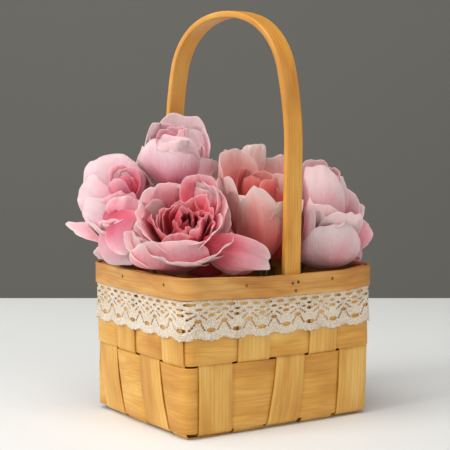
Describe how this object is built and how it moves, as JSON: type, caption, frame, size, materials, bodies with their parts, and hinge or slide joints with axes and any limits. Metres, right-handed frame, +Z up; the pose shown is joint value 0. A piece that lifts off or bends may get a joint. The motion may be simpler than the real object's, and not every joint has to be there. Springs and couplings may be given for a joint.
{
  "type": "flower girl basket",
  "caption": "Woven wood-chip gift basket with a bent strip handle, nailed rim bands and lace trim, filled with pink fabric peonies whose wire stems stand in florist's foam.",
  "frame": {"origin": "under the middle of the base, on the floor", "axes": "+Z up; -Y is the front, the wider wall where the handle's front foot is nailed; +X right as seen from the front"},
  "size_m": [0.186, 0.123, 0.2656],
  "materials": {
    "veneer": "raw pine or poplar veneer, satin",
    "weaver_veneer": "raw veneer, satin",
    "rim_wood": "raw veneer, satin",
    "handle_wood": "clear-coated bent wood, satin",
    "nail": "dull steel",
    "lace": "cream cotton torchon lace",
    "foam": "dry florist's foam",
    "petal": "silky dyed polyester, paler at the rims",
    "calyx": "moulded green",
    "stem": "plastic-coated wire"
  },
  "bodies": {
    "basket": {"stave_front_1": "veneer", "stave_front_2": "veneer", "stave_front_3": "veneer", "stave_front_4": "veneer", "stave_front_5": "veneer", "stave_side_1": "veneer", "stave_side_2": "veneer", "stave_side_3": "veneer", "stave_side_4": "veneer", "weaver_lower": "weaver_veneer", "weaver_upper": "weaver_veneer", "rim_outer": "rim_wood", "rim_inner": "rim_wood", "handle": "handle_wood", "rim_nails": "nail", "handle_nails": "nail", "lace_trim": "lace", "foam_block": "foam"},
    "left_flower": {"left_bloom": "petal", "left_calyx": "calyx", "left_stem": "stem"},
    "back_flower": {"back_bloom": "petal", "back_calyx": "calyx", "back_stem": "stem"},
    "front_left_flower": {"front_left_bloom": "petal", "front_left_calyx": "calyx", "front_left_stem": "stem"},
    "middle_flower": {"middle_bloom": "petal", "middle_calyx": "calyx", "middle_stem": "stem"},
    "right_flower": {"right_bloom": "petal", "right_calyx": "calyx", "right_stem": "stem"},
    "back_right_flower": {"back_right_bloom": "petal", "back_right_calyx": "calyx", "back_right_stem": "stem"}
  },
  "joints": [
    {"name": "left_flower_lift", "type": "slide", "parent": "basket", "child": "left_flower", "axis": [-0.3216, 0.1579, 0.9336], "range_m": [0, 0.09]},
    {"name": "back_flower_lift", "type": "slide", "parent": "basket", "child": "back_flower", "axis": [0, 0, 1], "range_m": [0, 0.042]},
    {"name": "front_left_flower_lift", "type": "slide", "parent": "basket", "child": "front_left_flower", "axis": [-0.2736, -0.1336, 0.9525], "range_m": [0, 0.09]},
    {"name": "middle_flower_lift", "type": "slide", "parent": "basket", "child": "middle_flower", "axis": [0, 0, 1], "range_m": [0, 0.055]},
    {"name": "right_flower_lift", "type": "slide", "parent": "basket", "child": "right_flower", "axis": [0.3002, -0.1532, 0.9415], "range_m": [0, 0.09]},
    {"name": "back_right_flower_lift", "type": "slide", "parent": "basket", "child": "back_right_flower", "axis": [0.3216, 0.1579, 0.9336], "range_m": [0, 0.09]}
  ]
}
